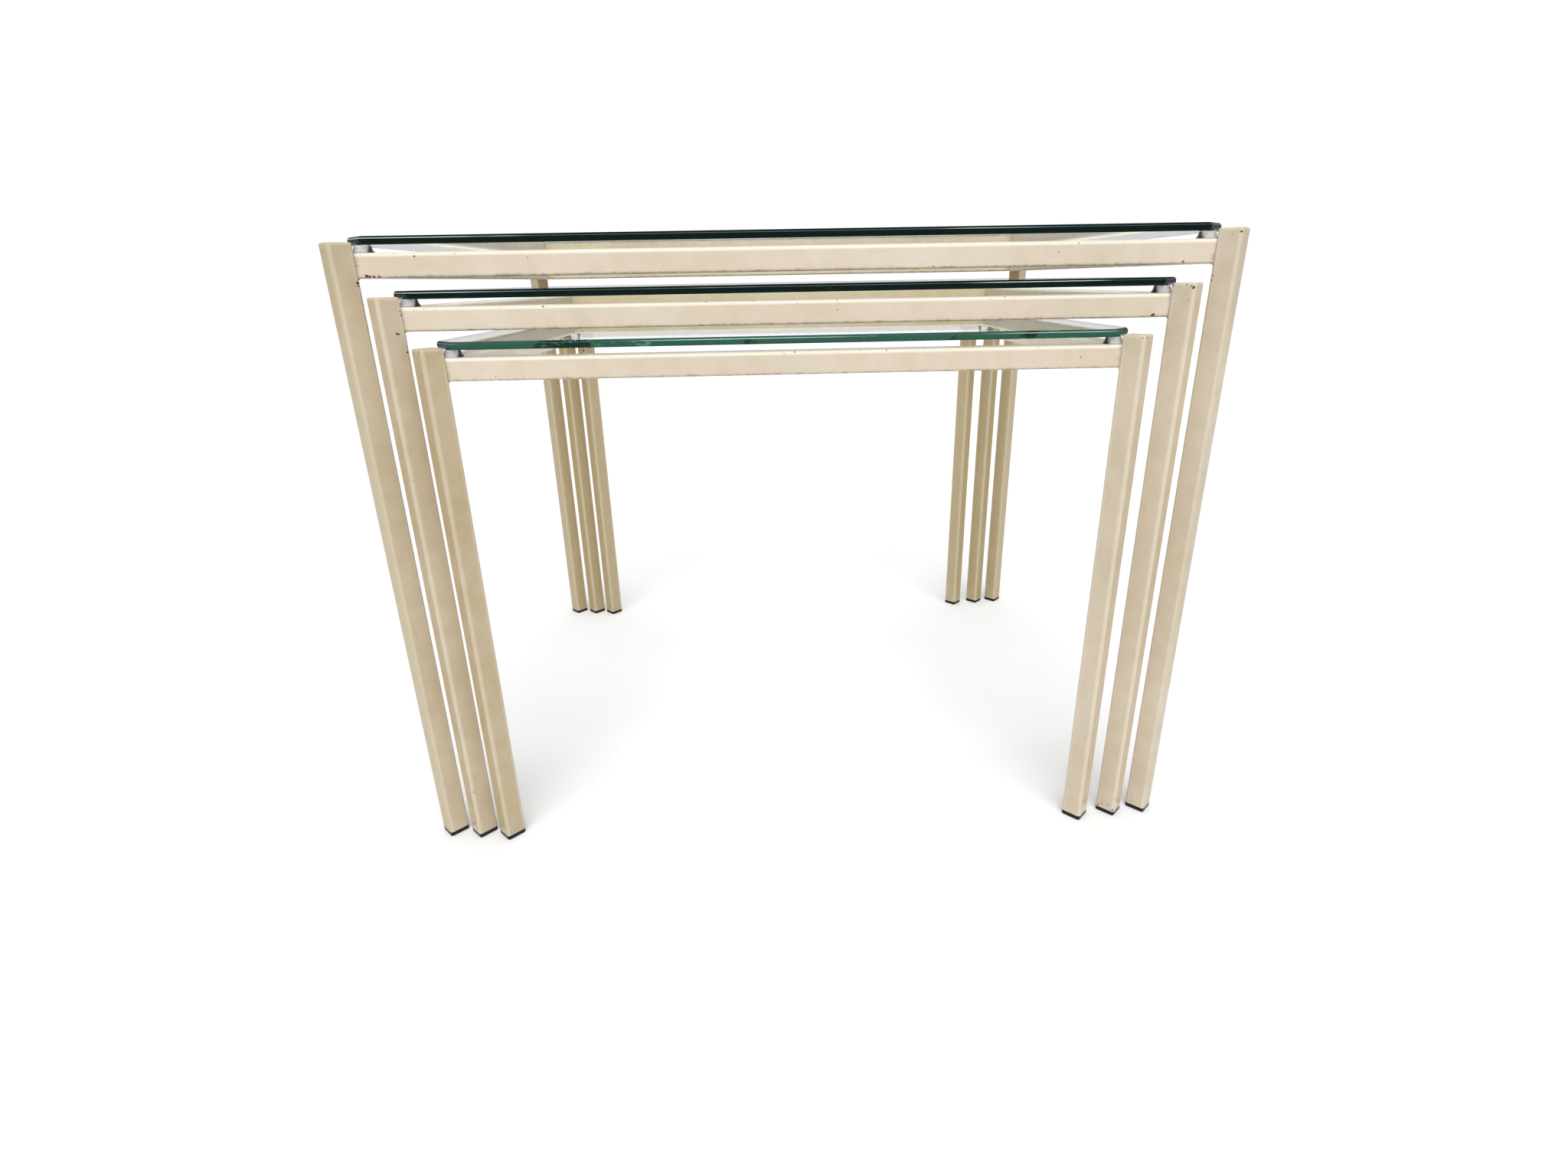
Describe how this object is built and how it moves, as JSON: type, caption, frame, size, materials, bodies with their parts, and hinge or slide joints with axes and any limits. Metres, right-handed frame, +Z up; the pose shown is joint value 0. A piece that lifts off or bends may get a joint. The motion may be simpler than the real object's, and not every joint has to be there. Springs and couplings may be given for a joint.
{
  "type": "nesting tables",
  "caption": "Nest of low side tables: square-tube frames with legs turned 45 degrees, each under a clear glass top; the smaller ones slide out forwards from under the largest.",
  "frame": {"origin": "on the floor below the middle of the nest's outer box at rest; the smaller tables stand 3 and 7 mm forward of the large one, so the large table's own centre is 3.5 mm behind the origin", "axes": "+X along the width, to the right as seen from the front; +Y from front to back; +Z up. The front, where the smaller tables are drawn out, faces -Y"},
  "size_m": [0.5798, 0.4728, 0.4425],
  "materials": {
    "paint": "cream gloss paint on steel tube, satin with age, with small chips and rust marks",
    "glide": "black moulded plastic",
    "pad": "clear moulded plastic",
    "glass": "clear float glass with a green edge, ground and polished edges"
  },
  "bodies": {
    "large_table": {"large_front_rail": "paint", "large_right_rail": "paint", "large_back_rail": "paint", "large_left_rail": "paint", "large_leg_front_left": "paint", "large_glide_front_left": "glide", "large_pad_front_left": "pad", "large_leg_front_right": "paint", "large_glide_front_right": "glide", "large_pad_front_right": "pad", "large_leg_back_left": "paint", "large_glide_back_left": "glide", "large_pad_back_left": "pad", "large_leg_back_right": "paint", "large_glide_back_right": "glide", "large_pad_back_right": "pad", "large_glass_top": "glass"},
    "medium_table": {"medium_front_rail": "paint", "medium_right_rail": "paint", "medium_back_rail": "paint", "medium_left_rail": "paint", "medium_leg_front_left": "paint", "medium_glide_front_left": "glide", "medium_pad_front_left": "pad", "medium_leg_front_right": "paint", "medium_glide_front_right": "glide", "medium_pad_front_right": "pad", "medium_leg_back_left": "paint", "medium_glide_back_left": "glide", "medium_pad_back_left": "pad", "medium_leg_back_right": "paint", "medium_glide_back_right": "glide", "medium_pad_back_right": "pad", "medium_glass_top": "glass"},
    "small_table": {"small_front_rail": "paint", "small_right_rail": "paint", "small_back_rail": "paint", "small_left_rail": "paint", "small_leg_front_left": "paint", "small_glide_front_left": "glide", "small_pad_front_left": "pad", "small_leg_front_right": "paint", "small_glide_front_right": "glide", "small_pad_front_right": "pad", "small_leg_back_left": "paint", "small_glide_back_left": "glide", "small_pad_back_left": "pad", "small_leg_back_right": "paint", "small_glide_back_right": "glide", "small_pad_back_right": "pad", "small_glass_top": "glass"}
  },
  "joints": [
    {"name": "medium_slide", "type": "slide", "parent": "large_table", "child": "medium_table", "axis": [0, -1, 0], "range_m": [0, 0.5]},
    {"name": "small_slide", "type": "slide", "parent": "large_table", "child": "small_table", "axis": [0, -1, 0], "range_m": [0, 1]}
  ]
}
